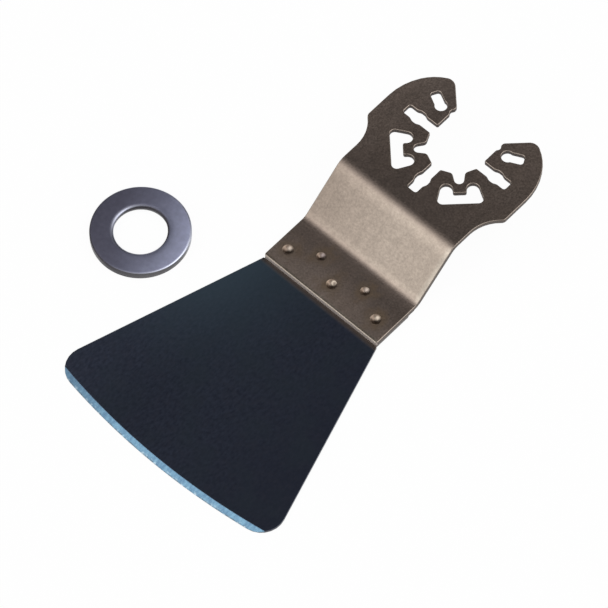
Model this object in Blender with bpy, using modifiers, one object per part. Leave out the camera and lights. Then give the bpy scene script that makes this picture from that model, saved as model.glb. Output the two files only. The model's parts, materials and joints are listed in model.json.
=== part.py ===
"""Flexible scraper attachment for an oscillating tool, with the loose spacer washer of its set.

Lengths are in metres and angles in degrees. The pieces are drawn around the spindle axis of the tool:
the spindle stands at x = y = 0, the open mouth of the arbor points to +Y and the blade to -Y. They hang
on one empty, which then puts the middle of the set over the origin, lying on z = 0.
"""
import math

import bmesh
import bpy
from mathutils import Matrix, Vector

# Sheets and the gap that pieces keep where they lie on or sit in each other
SHANK_THICKNESS = 0.0011
BLADE_THICKNESS = 0.0006
SEAT_GAP = 0.0002

# Crank of the shank, seen from the side
ARBOR_RISE = 0.0090
CRANK_ANGLE = 41.64
SPINDLE_TO_CRANK = 0.0171
LOWER_FLAT_LENGTH = 0.0117
BEND_RADIUS = 0.0028
SHANK_CORNER_ROUND = 0.0005

# Outer outline of the arbor, a chain of arcs that run smoothly into each other
NECK_HALF_WIDTH = 0.0146
FLANK_HALF_WIDTH = 0.0177
NECK_FILLET = 0.0082
SHOULDER_ROUND = 0.0012
SHOULDER_DROP = 0.0057
FLANK_ARC_RADIUS = 0.0131
HORN_ARC_RADIUS = 0.0105
HORN_ARC_START = 32.0
HORN_TIP_ROUND = 0.0020
HORN_FACE_ANGLE = 45.0

# Star opening for the spindle
SPINDLE_HALF_WIDTH = 0.0060
MOUTH_CORNER_Y = 0.0067
MOUTH_CORNER_ROUND = 0.0008
MOUTH_TO_NICK = 0.0014
NICK_HALF_LENGTH = 0.00075
NICK_FLOOR_HALF_LENGTH = 0.00025
NICK_DEPTH = 0.00035
NICK_ROUND = 0.0005
TOOTH_TIP_RADIUS = 0.00597
TOOTH_TIP_ANGLE = 11.9
TOOTH_ROUND = 0.0009
NOTCH_CENTRE_RADIUS = 0.0074
NOTCH_ROUND = 0.00095

# Pin slots that run out from the star opening
SLOT_HALF_WIDTH = 0.0011
SLOT_END_RADIUS = 0.0131
SLOT_MOUTH_ROUND = 0.00035
SLOT_END_ROUND = 0.0005
SLOT_BULGE = 0.00036
SLOT_BULGE_HALF_LENGTH = 0.00045
SLOT_BULGE_RAMP = 0.0008
SLOT_BULGE_ROUND = 0.0010

# Ring of places for pins, and the windows and horn slots that grow out of their holes
PIN_CIRCLE_RADIUS = 0.00995
PIN_PLACES = 12
PIN_HOLE_RADIUS = 0.00125
WINDOW_OUTER_SIDE = 0.0128
WINDOW_CORNER_ROUND = 0.0010
TONGUE_FACE = 0.0104
TONGUE_ROUND = 0.0004
HORN_SLOT_NARROWING = 0.0002
HORN_SLOT_LENGTH = 0.00325
HORN_SLOT_LEAN = 3.0
HORN_SLOT_ROUND = 0.0006

# Blade
BLADE_OVERLAP = 0.0100
TANG_INSET = 0.0001
TANG_CORNER_ROUND = 0.0010
BLADE_REACH = 0.04675
BLADE_NECK_STEP = 0.0001
FLARE_ANGLE = 17.3
TIP_RADIUS = 0.148
TIP_CORNER_ROUND = 0.0047
GRIND_WIDTH = 0.0012
EDGE_LAND = 0.00012

# Weld spots on the lower flat, counted from the left
WELD_LARGE_RADIUS = 0.0011
WELD_SMALL_RADIUS = 0.0009
WELD_SIDE_MARGIN = 0.0032
WELD_ROW_SHIFT = -0.0005
WELD_NEAR_ROW = 0.0039
WELD_FAR_ROW = 0.0071
WELD_DISH_DEPTH = 0.00035
WELD_RIM = 0.00015

# Spacer washer and where it lies
WASHER_OUTER_RADIUS = 0.0099
WASHER_HOLE_RADIUS = 0.00525
WASHER_THICKNESS = 0.0019
WASHER_EDGE_ROUND = 0.0005
WASHER_X = -0.0358
WASHER_Y = -0.0511

# Fineness of the facets, and the share of an edge that a round at one of its ends may use up
ARC_STEP = 9.0
CORNER_STEP = 15.0
BEND_STEP = 6.0
TIP_STEP = 1.0
WASHER_STEPS = 64
WELD_STEPS = 24
CONE_SEGMENTS = 512
ROUND_SHARE = 0.49

# Cutters run past what they cut by the margin, and points nearer than the merge distance become one
CUT_MARGIN = 0.002
MERGE_DISTANCE = 1e-6

# Heights, bottom to top
LOWER_FLAT_BOTTOM = BLADE_THICKNESS + SEAT_GAP
LOWER_FLAT_TOP = LOWER_FLAT_BOTTOM + SHANK_THICKNESS
ARBOR_TOP = LOWER_FLAT_TOP + ARBOR_RISE

# Stations of the right half of the arbor: notch and window on the diagonal, then the lower slot
PIN_STEP = 360.0 / PIN_PLACES
DIAGONAL = -1.5 * PIN_STEP
LOWER_SLOT = -3.0 * PIN_STEP

# Places along the length
CRANK_RUN = ARBOR_RISE / math.tan(math.radians(CRANK_ANGLE))
LOWER_BEND_Y = -(SPINDLE_TO_CRANK + CRANK_RUN)
SHANK_END_Y = LOWER_BEND_Y - LOWER_FLAT_LENGTH
TIP_Y = SHANK_END_Y - BLADE_REACH


def polar(radius, angle):
    """Point at a radius and an angle in degrees."""
    return Vector((math.cos(math.radians(angle)), math.sin(math.radians(angle)))) * radius


def turned(points, angle, origin=(0.0, 0.0)):
    """The points turned by an angle in degrees, then moved to an origin."""
    rotation = Matrix.Rotation(math.radians(angle), 2)
    return [rotation @ Vector(point) + Vector(origin) for point in points]


def mirrored(points):
    """The points mirrored across the Y axis, in reverse order."""
    return [Vector((-point[0], point[1])) for point in reversed(points)]


def arc(centre, radius, start, end, step=ARC_STEP):
    """Points on an arc from one angle to another, both ends included."""
    pieces = max(2, math.ceil(abs(end - start) / step))
    return [Vector(centre) + polar(radius, start + (end - start) * i / pieces) for i in range(pieces + 1)]


def rounded(corners, closed=False, step=CORNER_STEP):
    """An outline through corners of (x, y, round radius), each corner turned into an arc.

    A radius is limited so that the arcs of neighbouring corners never meet.
    """
    points = [Vector(corner[:2]) for corner in corners]
    outline = []
    for i, corner in enumerate(corners):
        is_end = i in (0, len(corners) - 1) and not closed
        if corner[2] == 0.0 or is_end:
            outline.append(points[i])
            continue
        before = points[i - 1] - points[i]
        after = points[(i + 1) % len(points)] - points[i]
        half_angle = before.angle(after) / 2
        longest = ROUND_SHARE * min(before.length, after.length)
        reach = min(corner[2] / math.tan(half_angle), longest)
        radius = reach * math.tan(half_angle)
        bisector = (before.normalized() + after.normalized()).normalized()
        centre = points[i] + bisector * (radius / math.sin(half_angle))
        first = points[i] + before.normalized() * reach - centre
        last = points[i] + after.normalized() * reach - centre
        start = math.degrees(math.atan2(first.y, first.x))
        turn = (math.degrees(math.atan2(last.y, last.x)) - start + 180.0) % 360.0 - 180.0
        outline += arc(centre, radius, start, start + turn, step)
    return outline


def plain(points):
    """Points as corners that stay as they are."""
    return [(point[0], point[1], 0.0) for point in points]


def mouth_corner():
    """Corner where the right horn's face meets the side of the mouth."""
    return Vector((SPINDLE_HALF_WIDTH, MOUTH_CORNER_Y))


def horn_tip(horn):
    """Centre of the tip's round, which runs into the horn's face and into the arc about the horn's centre."""
    along = polar(1.0, HORN_FACE_ANGLE)
    start = mouth_corner() - polar(HORN_TIP_ROUND, HORN_FACE_ANGLE + 90.0) - horn
    middle = start.dot(along)
    gap = HORN_ARC_RADIUS - HORN_TIP_ROUND
    reach = math.sqrt(middle ** 2 - start.length_squared + gap ** 2) - middle
    return horn + start + along * reach


def outer_edge():
    """Right edge of the shank, from its lower end up the neck and round the horn to its inner end."""
    fillet_x = NECK_HALF_WIDTH + NECK_FILLET
    shoulder = Vector((FLANK_HALF_WIDTH - SHOULDER_ROUND, -SHOULDER_DROP))
    across = fillet_x - shoulder.x
    down = math.sqrt((NECK_FILLET + SHOULDER_ROUND) ** 2 - across ** 2)
    fillet = Vector((fillet_x, shoulder.y - down))
    meeting = math.degrees(math.atan2(down, across))
    flank = Vector((FLANK_HALF_WIDTH - FLANK_ARC_RADIUS, 0.0))
    horn = flank + polar(FLANK_ARC_RADIUS - HORN_ARC_RADIUS, HORN_ARC_START)
    tip = horn_tip(horn)
    tip_start = math.degrees(math.atan2(tip.y - horn.y, tip.x - horn.x))
    edge = rounded([(0.0, SHANK_END_Y, 0.0),
                    (NECK_HALF_WIDTH, SHANK_END_Y, SHANK_CORNER_ROUND),
                    (NECK_HALF_WIDTH, fillet.y, 0.0)])
    edge += arc(fillet, NECK_FILLET, 180.0, 180.0 - meeting)
    edge += arc(shoulder, SHOULDER_ROUND, -meeting, 0.0)
    edge += arc(flank, FLANK_ARC_RADIUS, 0.0, HORN_ARC_START)
    edge += arc(horn, HORN_ARC_RADIUS, HORN_ARC_START, tip_start)
    edge += arc(tip, HORN_TIP_ROUND, tip_start, HORN_FACE_ANGLE + 90.0)
    return edge


def slot_side():
    """Corners of one side of a pin slot, from the star opening out to its end, slot along +X."""
    bulge = SLOT_HALF_WIDTH + SLOT_BULGE
    ramp = SLOT_BULGE_HALF_LENGTH + SLOT_BULGE_RAMP
    return [(SPINDLE_HALF_WIDTH, SLOT_HALF_WIDTH, SLOT_MOUTH_ROUND),
            (PIN_CIRCLE_RADIUS - ramp, SLOT_HALF_WIDTH, SLOT_BULGE_ROUND),
            (PIN_CIRCLE_RADIUS - SLOT_BULGE_HALF_LENGTH, bulge, SLOT_BULGE_ROUND),
            (PIN_CIRCLE_RADIUS + SLOT_BULGE_HALF_LENGTH, bulge, SLOT_BULGE_ROUND),
            (PIN_CIRCLE_RADIUS + ramp, SLOT_HALF_WIDTH, SLOT_BULGE_ROUND),
            (SLOT_END_RADIUS, SLOT_HALF_WIDTH, SLOT_END_ROUND)]


def notch():
    """Corners of a notch between its two teeth, notch along +X, in clockwise order."""
    tooth = polar(TOOTH_TIP_RADIUS, TOOTH_TIP_ANGLE)
    centre = Vector((NOTCH_CENTRE_RADIUS, 0.0))
    to_tooth = tooth - centre
    tangent = math.degrees(math.atan2(to_tooth.y, to_tooth.x))
    tangent -= math.degrees(math.acos(min(1.0, NOTCH_ROUND / to_tooth.length)))
    half = [(tooth.x, tooth.y, TOOTH_ROUND)] + plain(arc(centre, NOTCH_ROUND, tangent, 0.0, CORNER_STEP))
    return half + [(x, -y, radius) for x, y, radius in reversed(half[:-1])]


def turned_corners(corners, angle):
    """Corners turned about the spindle, with their round radii kept."""
    places = turned([corner[:2] for corner in corners], angle)
    return [(place.x, place.y, corner[2]) for place, corner in zip(places, corners)]


def star_opening(horn_end):
    """Right half of the star opening, from the end of the horn face to the middle of the lower slot."""
    face = mouth_corner()
    nick_x = SPINDLE_HALF_WIDTH + NICK_DEPTH
    nick_y = MOUTH_CORNER_Y - MOUTH_TO_NICK
    side = slot_side()
    other_side = [(x, -y, radius) for x, y, radius in reversed(side)]
    corners = [(horn_end.x, horn_end.y, 0.0),
               (face.x, face.y, MOUTH_CORNER_ROUND),
               (SPINDLE_HALF_WIDTH, nick_y + NICK_HALF_LENGTH, NICK_ROUND),
               (nick_x, nick_y + NICK_FLOOR_HALF_LENGTH, NICK_ROUND),
               (nick_x, nick_y - NICK_FLOOR_HALF_LENGTH, NICK_ROUND),
               (SPINDLE_HALF_WIDTH, nick_y - NICK_HALF_LENGTH, NICK_ROUND)]
    corners += side + other_side
    corners += turned_corners(notch(), DIAGONAL)
    corners += turned_corners(side, LOWER_SLOT)
    corners.append((0.0, -SLOT_END_RADIUS, 0.0))
    return rounded(corners)


def shank_outline():
    """Whole outline of the shank in plan, anticlockwise."""
    edge = outer_edge()
    half = edge + star_opening(edge[-1])[1:]
    return half[1:-1] + mirrored(half)[:-1]


def window():
    """Outline of the window between two pin holes, middle line along +X."""
    side_angle = PIN_STEP / 2
    pin = polar(PIN_CIRCLE_RADIUS, side_angle)
    side_start = pin + polar(PIN_HOLE_RADIUS, side_angle + 90.0)
    to_corner = (WINDOW_OUTER_SIDE - side_start.x) / math.cos(math.radians(side_angle))
    corner = side_start + polar(to_corner, side_angle)
    half = [(TONGUE_FACE, pin.y - PIN_HOLE_RADIUS, TONGUE_ROUND)]
    half += plain(arc(pin, PIN_HOLE_RADIUS, -90.0, side_angle - 270.0, CORNER_STEP))
    half.append((corner.x, corner.y, WINDOW_CORNER_ROUND))
    return rounded(half + [(x, -y, radius) for x, y, radius in reversed(half)], closed=True)


def horn_slot():
    """Outline of a horn's pin hole with its short slot, hole at the origin and slot along +X."""
    half_width = PIN_HOLE_RADIUS - HORN_SLOT_NARROWING
    opening = math.degrees(math.asin(half_width / PIN_HOLE_RADIUS))
    corners = plain(arc((0.0, 0.0), PIN_HOLE_RADIUS, opening, 360.0 - opening, CORNER_STEP))
    corners.append((HORN_SLOT_LENGTH, -half_width, HORN_SLOT_ROUND))
    corners.append((HORN_SLOT_LENGTH, half_width, HORN_SLOT_ROUND))
    return rounded(corners, closed=True)


def weld_spots():
    """Place and radius of each weld spot, from left to right."""
    near = SHANK_END_Y + WELD_NEAR_ROW
    far = SHANK_END_Y + WELD_FAR_ROW
    outer = NECK_HALF_WIDTH - WELD_SIDE_MARGIN
    inner = outer / 2
    return [(WELD_ROW_SHIFT - outer, near, WELD_LARGE_RADIUS),
            (WELD_ROW_SHIFT - inner, far, WELD_SMALL_RADIUS),
            (WELD_ROW_SHIFT, near, WELD_LARGE_RADIUS),
            (WELD_ROW_SHIFT + inner, far, WELD_SMALL_RADIUS),
            (WELD_ROW_SHIFT + outer, near, WELD_LARGE_RADIUS)]


def shank_holes():
    """Outlines of the closed holes of the shank: windows, horn slots and weld bores."""
    right_window = turned(window(), DIAGONAL)
    right_slot = turned(horn_slot(), PIN_STEP - HORN_SLOT_LEAN, polar(PIN_CIRCLE_RADIUS, PIN_STEP))
    holes = [right_window, mirrored(right_window), right_slot, mirrored(right_slot)]
    for x, y, radius in weld_spots():
        holes.append(arc((x, y), radius + SEAT_GAP, 0.0, 360.0, CORNER_STEP)[:-1])
    return holes


def crank_outline():
    """Side view of the shank as a ribbon of even thickness, Y to the right and Z up."""
    past = max(point.y for point in outer_edge()) + CUT_MARGIN
    middle = SHANK_THICKNESS / 2
    path = rounded([(SHANK_END_Y - CUT_MARGIN, LOWER_FLAT_TOP - middle, 0.0),
                    (LOWER_BEND_Y, LOWER_FLAT_TOP - middle, BEND_RADIUS),
                    (-SPINDLE_TO_CRANK, ARBOR_TOP - middle, BEND_RADIUS),
                    (past, ARBOR_TOP - middle, 0.0)], step=BEND_STEP)
    upper = []
    lower = []
    for i, point in enumerate(path):
        along = path[min(i + 1, len(path) - 1)] - path[max(i - 1, 0)]
        offset = Vector((-along.y, along.x)).normalized() * middle
        upper.append(point + offset)
        lower.append(point - offset)
    return lower + upper[::-1]


def blade_outline():
    """Outline of the blade in plan: flared sides, round corners and a convex tip."""
    flare = Vector((math.sin(math.radians(FLARE_ANGLE)), -math.cos(math.radians(FLARE_ANGLE))))
    inward = Vector((flare.y, -flare.x))
    at_shank = Vector((NECK_HALF_WIDTH + BLADE_NECK_STEP, SHANK_END_Y))
    tang_half_width = NECK_HALF_WIDTH - TANG_INSET
    tang_top = SHANK_END_Y + BLADE_OVERLAP
    tang = rounded([(0.0, tang_top, 0.0), (tang_half_width, tang_top, TANG_CORNER_ROUND),
                    (tang_half_width, SHANK_END_Y, 0.0)])
    tip_centre = Vector((0.0, TIP_Y + TIP_RADIUS))
    start = at_shank + inward * TIP_CORNER_ROUND - tip_centre
    along = start.dot(flare)
    reach = math.sqrt(along ** 2 - start.length_squared + (TIP_RADIUS - TIP_CORNER_ROUND) ** 2) - along
    corner = tip_centre + start + flare * reach
    outward = corner - tip_centre
    tip_angle = math.degrees(math.atan2(outward.y, outward.x))
    half = tang[1:] + [at_shank] + arc(corner, TIP_CORNER_ROUND, FLARE_ANGLE, tip_angle, CORNER_STEP)
    tip = arc(tip_centre, TIP_RADIUS, tip_angle, -180.0 - tip_angle, TIP_STEP)
    return half + tip[1:-1] + mirrored(half)


def collection(name):
    """A new collection in the scene."""
    made = bpy.data.collections.new(name)
    bpy.context.scene.collection.children.link(made)
    return made


def metal(name, colour, roughness):
    """A plain metal material."""
    material = bpy.data.materials.new(name)
    material.use_nodes = True
    shader = material.node_tree.nodes["Principled BSDF"]
    shader.inputs["Base Color"].default_value = (*colour, 1.0)
    shader.inputs["Metallic"].default_value = 1.0
    shader.inputs["Roughness"].default_value = roughness
    return material


def add(name, mesh, group, parent):
    """A mesh object in a collection, under the set's empty."""
    made = bpy.data.objects.new(name, mesh)
    group.objects.link(made)
    made.parent = parent
    return made


def plate(name, outlines, thickness):
    """A flat plate centred on z = 0, whose first outline is its edge and the others its holes."""
    curve = bpy.data.curves.new(name, "CURVE")
    curve.dimensions = "2D"
    curve.fill_mode = "BOTH"
    curve.extrude = thickness / 2
    for outline in outlines:
        spline = curve.splines.new("POLY")
        spline.points.add(len(outline) - 1)
        for place, point in zip(spline.points, outline):
            place.co = (point[0], point[1], 0.0, 1.0)
        spline.use_cyclic_u = True
    drawn = bpy.data.objects.new(name, curve)
    bpy.context.scene.collection.objects.link(drawn)
    depsgraph = bpy.context.evaluated_depsgraph_get()
    mesh = bpy.data.meshes.new_from_object(drawn.evaluated_get(depsgraph))
    bpy.data.objects.remove(drawn)
    bpy.data.curves.remove(curve)
    build = bmesh.new()
    build.from_mesh(mesh)
    bmesh.ops.remove_doubles(build, verts=build.verts, dist=MERGE_DISTANCE)
    bmesh.ops.recalc_face_normals(build, faces=build.faces)
    build.to_mesh(mesh)
    build.free()
    mesh.name = name
    return mesh


def profile(name, points, closed):
    """A wire in the XZ plane, ready to be turned about Z."""
    mesh = bpy.data.meshes.new(name)
    last = len(points) if closed else len(points) - 1
    edges = [(i, (i + 1) % len(points)) for i in range(last)]
    mesh.from_pydata([(point[0], 0.0, point[1]) for point in points], edges, [])
    return mesh


def turn(target, steps):
    """Turn a piece's profile about its own Z axis."""
    screw = target.modifiers.new("turn", "SCREW")
    screw.steps = steps
    screw.render_steps = steps
    screw.use_merge_vertices = True
    screw.merge_threshold = MERGE_DISTANCE
    screw.use_smooth_shade = True


def as_cutter(cutter):
    """Mark an object as a cutter."""
    cutter.hide_render = True
    cutter.display_type = "WIRE"
    return cutter


def keep_inside(target, cutter):
    """Keep only what lies inside a cutter."""
    boolean = target.modifiers.new(cutter.name, "BOOLEAN")
    boolean.operation = "INTERSECT"
    boolean.solver = "EXACT"
    boolean.object = cutter


def make_shank(parts, cutters, parent):
    """Shank: a cranked ribbon as wide as the arbor, stamped to its outline in plan."""
    ribbon = plate("shank_plate", [crank_outline()], 2 * (FLANK_HALF_WIDTH + CUT_MARGIN))
    ribbon.transform(Matrix(((0, 0, 1, 0), (1, 0, 0, 0), (0, 1, 0, 0), (0, 0, 0, 1))))
    ribbon.materials.append(metal("shank_steel", (0.15, 0.125, 0.105), 0.42))
    shank = add("shank_plate", ribbon, parts, parent)
    stamp = plate("shank_stamp", [shank_outline()] + shank_holes(), ARBOR_TOP + 2 * CUT_MARGIN)
    stamp.transform(Matrix.Translation((0.0, 0.0, ARBOR_TOP / 2)))
    keep_inside(shank, as_cutter(add("shank_stamp", stamp, cutters, parent)))
    return shank


def make_blade(parts, cutters, parent):
    """Blade: a flared plate, its tip ground from above by a wide cone about the centre of the tip arc."""
    flat = plate("scraper_blade", [blade_outline()], BLADE_THICKNESS)
    flat.transform(Matrix.Translation((0.0, 0.0, BLADE_THICKNESS / 2)))
    flat.materials.append(metal("blued_steel", (0.020, 0.026, 0.042), 0.35))
    blade = add("scraper_blade", flat, parts, parent)
    slope = GRIND_WIDTH / (BLADE_THICKNESS - EDGE_LAND)
    height = BLADE_THICKNESS + 2 * CUT_MARGIN
    below = TIP_RADIUS + slope * (EDGE_LAND + CUT_MARGIN)
    build = bmesh.new()
    bmesh.ops.create_cone(build, cap_ends=True, segments=CONE_SEGMENTS, radius1=below,
                          radius2=below - slope * height, depth=height)
    cone = bpy.data.meshes.new("grinding_cone")
    build.to_mesh(cone)
    build.free()
    cone.transform(Matrix.Translation((0.0, TIP_Y + TIP_RADIUS, BLADE_THICKNESS / 2)))
    keep_inside(blade, as_cutter(add("grinding_cone", cone, cutters, parent)))
    return blade


def make_weld(number, x, y, radius, parts, parent):
    """Weld spot: a slug that fills its bore in the lower flat, with a dish pressed into its top."""
    dish = radius - WELD_RIM
    ball = (dish ** 2 + WELD_DISH_DEPTH ** 2) / (2 * WELD_DISH_DEPTH)
    middle = ball - WELD_DISH_DEPTH
    half_angle = math.degrees(math.atan2(dish, middle))
    dished = arc((0.0, SHANK_THICKNESS + middle), ball, -90.0, half_angle - 90.0, CORNER_STEP)
    points = dished + [(radius, SHANK_THICKNESS), (radius, 0.0), (0.0, 0.0)]
    name = f"weld_{number}"
    weld = add(name, profile(name, points, False), parts, parent)
    weld.data.materials.append(metal(name, (0.21, 0.175, 0.14), 0.38))
    weld.location = (x, y, LOWER_FLAT_BOTTOM)
    turn(weld, WELD_STEPS)
    return weld


def make_washer(parts, parent):
    """Spacer washer: a turned flat ring with rounded edges, lying beside the blade."""
    corners = [(WASHER_HOLE_RADIUS, WASHER_THICKNESS), (WASHER_OUTER_RADIUS, WASHER_THICKNESS),
               (WASHER_OUTER_RADIUS, 0.0), (WASHER_HOLE_RADIUS, 0.0)]
    section = rounded([(*corner, WASHER_EDGE_ROUND) for corner in corners], closed=True)
    washer = add("spacer_washer", profile("spacer_washer", section, True), parts, parent)
    washer.data.materials.append(metal("washer_steel", (0.17, 0.17, 0.21), 0.33))
    washer.location = (WASHER_X, WASHER_Y, 0.0)
    turn(washer, WASHER_STEPS)
    return washer


def box_middle(pieces):
    """Middle of the box around some pieces, in plan."""
    bpy.context.view_layer.update()
    depsgraph = bpy.context.evaluated_depsgraph_get()
    corners = []
    for piece in pieces:
        solid = piece.evaluated_get(depsgraph)
        corners += [solid.matrix_world @ Vector(corner) for corner in solid.bound_box]
    return [(min(c[axis] for c in corners) + max(c[axis] for c in corners)) / 2 for axis in (0, 1)]


def main():
    """Build the set and put its middle over the origin."""
    for old in list(bpy.data.objects):
        bpy.data.objects.remove(old)
    parts = collection("flexible_scraper")
    cutters = collection("cutters")
    spindle = bpy.data.objects.new("spindle_axis", None)
    parts.objects.link(spindle)
    pieces = [make_shank(parts, cutters, spindle), make_blade(parts, cutters, spindle)]
    for number, (x, y, radius) in enumerate(weld_spots(), 1):
        pieces.append(make_weld(number, x, y, radius, parts, spindle))
    pieces.append(make_washer(parts, spindle))
    middle = box_middle(pieces)
    spindle.location = (-middle[0], -middle[1], 0.0)
    print("spindle axis at", [round(1000 * -value, 3) for value in middle], "mm")


main()
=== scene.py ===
# %% [markdown]
# # A flexible scraper for an oscillating tool, and its spacer washer
#
# The set has three pieces of steel: a cranked shank, a flared spring blade that is welded under it, and a
# loose washer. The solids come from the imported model. This lesson dresses them: each piece is remade with
# the soft edges that stamping leaves, and gets a steel of its own. The pieces could be modelled from
# nothing, but then they would drift from the solids, so each one takes its sizes from them.

# %% Load the solids
import json
import math

import bmesh
import bpy
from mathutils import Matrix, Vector

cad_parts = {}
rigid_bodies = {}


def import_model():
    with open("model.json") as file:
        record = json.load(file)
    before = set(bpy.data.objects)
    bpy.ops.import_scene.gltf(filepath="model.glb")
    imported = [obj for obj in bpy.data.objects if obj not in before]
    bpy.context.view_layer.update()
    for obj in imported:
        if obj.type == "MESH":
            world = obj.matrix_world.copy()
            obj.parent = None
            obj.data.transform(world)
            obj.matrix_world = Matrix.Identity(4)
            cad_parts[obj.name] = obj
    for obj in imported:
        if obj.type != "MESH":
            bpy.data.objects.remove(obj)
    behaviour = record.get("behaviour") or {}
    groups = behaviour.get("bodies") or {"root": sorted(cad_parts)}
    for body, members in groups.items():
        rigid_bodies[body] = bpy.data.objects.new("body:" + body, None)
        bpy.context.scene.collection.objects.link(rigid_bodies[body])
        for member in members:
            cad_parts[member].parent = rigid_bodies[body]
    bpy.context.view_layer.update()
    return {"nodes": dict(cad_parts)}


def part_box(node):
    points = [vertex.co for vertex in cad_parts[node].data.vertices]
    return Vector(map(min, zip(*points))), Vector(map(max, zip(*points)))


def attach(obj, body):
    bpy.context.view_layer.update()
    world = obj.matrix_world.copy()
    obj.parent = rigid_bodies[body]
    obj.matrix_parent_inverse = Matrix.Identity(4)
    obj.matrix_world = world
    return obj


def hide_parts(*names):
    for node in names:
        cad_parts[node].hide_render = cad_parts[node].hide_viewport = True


for old in list(bpy.data.objects):
    bpy.data.objects.remove(old)

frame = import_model()
scene = bpy.context.scene
print("solids:", sorted(frame["nodes"]))

# %% [markdown]
# ## The camera
#
# A catalogue picture of a small part is taken with a long lens from some way off, so that lines stay
# parallel. A camera can be set by a place and three turns, but a direction, a distance and a point on the
# table are easier to adjust, so it is built from those. The angles were found by laying the solids' outline
# over the picture.

# %% Camera
VIEW_TURN = math.radians(42.76)
VIEW_TILT = math.radians(59.76)
VIEW_DISTANCE = 0.9
VIEW_TARGET = Vector((0.007177, -0.003620, 0.0))
LENS_MM = 278.36
SENSOR_MM = 36.0
NEAREST_SEEN = 0.01

to_camera = Vector((math.sin(VIEW_TURN) * math.cos(VIEW_TILT),
                    -math.cos(VIEW_TURN) * math.cos(VIEW_TILT),
                    math.sin(VIEW_TILT)))
camera_data = bpy.data.cameras.new("catalogue_camera")
camera_data.lens = LENS_MM
camera_data.sensor_width = SENSOR_MM
camera_data.clip_start = NEAREST_SEEN
camera = bpy.data.objects.new("catalogue_camera", camera_data)
camera.location = VIEW_TARGET + to_camera * VIEW_DISTANCE
camera.rotation_euler = to_camera.to_track_quat("Z", "Y").to_euler()
scene.collection.objects.link(camera)
scene.camera = camera
print("camera at", [round(value, 3) for value in camera.location], "m")

# %% [markdown]
# ## Helpers for node trees
#
# The sky, the finishes and the Geometry Nodes below are all trees of small nodes. They could be drawn by
# hand in the node editor, but a script makes the same tree each time and keeps its numbers named. Four kinds
# of node come back all the time: a calculation with two values, one with a vector, a value that is moved to
# another range, and a vector taken apart. One helper for each keeps the code short.

# %% Node helpers


def math_node(tree, operation, first, second=0.0):
    """A Math node between two sockets or numbers."""
    made = tree.nodes.new("ShaderNodeMath")
    made.operation = operation
    for socket, value in zip(made.inputs, (first, second)):
        if isinstance(value, (int, float)):
            socket.default_value = value
        else:
            tree.links.new(value, socket)
    return made.outputs[0]


def vector_node(tree, operation, vector, fixed):
    """A Vector Math node between a socket and a fixed vector."""
    made = tree.nodes.new("ShaderNodeVectorMath")
    made.operation = operation
    made.inputs[1].default_value = fixed
    tree.links.new(vector, made.inputs[0])
    return made.outputs["Value" if operation in ("DISTANCE", "DOT_PRODUCT") else "Vector"]


def remap(tree, value, low, high, to_low=0.0, to_high=1.0, smooth=False):
    """A value moved from one range to another, and kept inside it."""
    made = tree.nodes.new("ShaderNodeMapRange")
    made.interpolation_type = "SMOOTHSTEP" if smooth else "LINEAR"
    made.inputs["From Min"].default_value = low
    made.inputs["From Max"].default_value = high
    made.inputs["To Min"].default_value = to_low
    made.inputs["To Max"].default_value = to_high
    tree.links.new(value, made.inputs["Value"])
    return made.outputs["Result"]


def parts_of(tree, vector):
    """The X, Y and Z of a vector."""
    made = tree.nodes.new("ShaderNodeSeparateXYZ")
    tree.links.new(vector, made.inputs[0])
    return made.outputs


# %% [markdown]
# ## Light
#
# Steel has little colour of its own: it shows what stands around it. The flat faces of this part mirror the
# ceiling, the sloped panel mirrors what stands in front, and the rims mirror what stands to the right. Lamps
# would show in it as patches with hard edges, so the light is painted into the sky: a dim grey ceiling, and
# two very large soft lights in front and to the right. Each is a glow that fades with the angle from its
# middle, which is what a big softbox with a veil looks like. All together a white card on the table would
# come out just white.

# %% Sky with two soft lights
CEILING = 0.05
HORIZON = 0.92
HORIZON_EDGE = (0.02, 0.2)
FRONT_LIGHT = {"towards": (-0.25, -0.72, 0.65), "strength": 2.4, "focus": 5.5}
RIGHT_LIGHT = {"towards": (0.55, 0.35, 0.76), "strength": 3.0, "focus": 8.0}

scene.view_settings.view_transform = "Standard"
world = bpy.data.worlds.new("studio")
scene.world = world
world.use_nodes = True
sky = world.node_tree
direction = sky.nodes.new("ShaderNodeTexCoord").outputs["Generated"]


def soft_light(towards, strength, focus):
    """A glow around a direction. A higher focus makes it fade sooner."""
    facing = vector_node(sky, "DOT_PRODUCT", direction, Vector(towards).normalized())
    facing = math_node(sky, "MAXIMUM", facing, 0.0)
    return math_node(sky, "MULTIPLY", math_node(sky, "POWER", facing, focus), strength)


lit = remap(sky, parts_of(sky, direction)["Z"], *HORIZON_EDGE, HORIZON, CEILING)
for light in (FRONT_LIGHT, RIGHT_LIGHT):
    lit = math_node(sky, "ADD", lit, soft_light(**light))
sky.links.new(lit, sky.nodes["Background"].inputs["Strength"])
sky.nodes["Background"].inputs["Color"].default_value = (1.0, 1.0, 1.0, 1.0)
print("sky has", len(sky.nodes), "nodes")

# %% [markdown]
# ### The table
#
# The part lies on a white sheet. A sheet that is only lit turns grey far away, so this one glows where the
# camera looks at it or sees it mirrored in steel. A small share of it stays matt paper, which keeps the
# part's shadow, and it lies a hair under the part so that no two faces share a plane.

# %% Table
TABLE_REACH = 12.0
TABLE_DROP = 0.00002
GLOW_SHARE = 0.96
PAPER = (0.9, 0.9, 0.9, 1.0)

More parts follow.
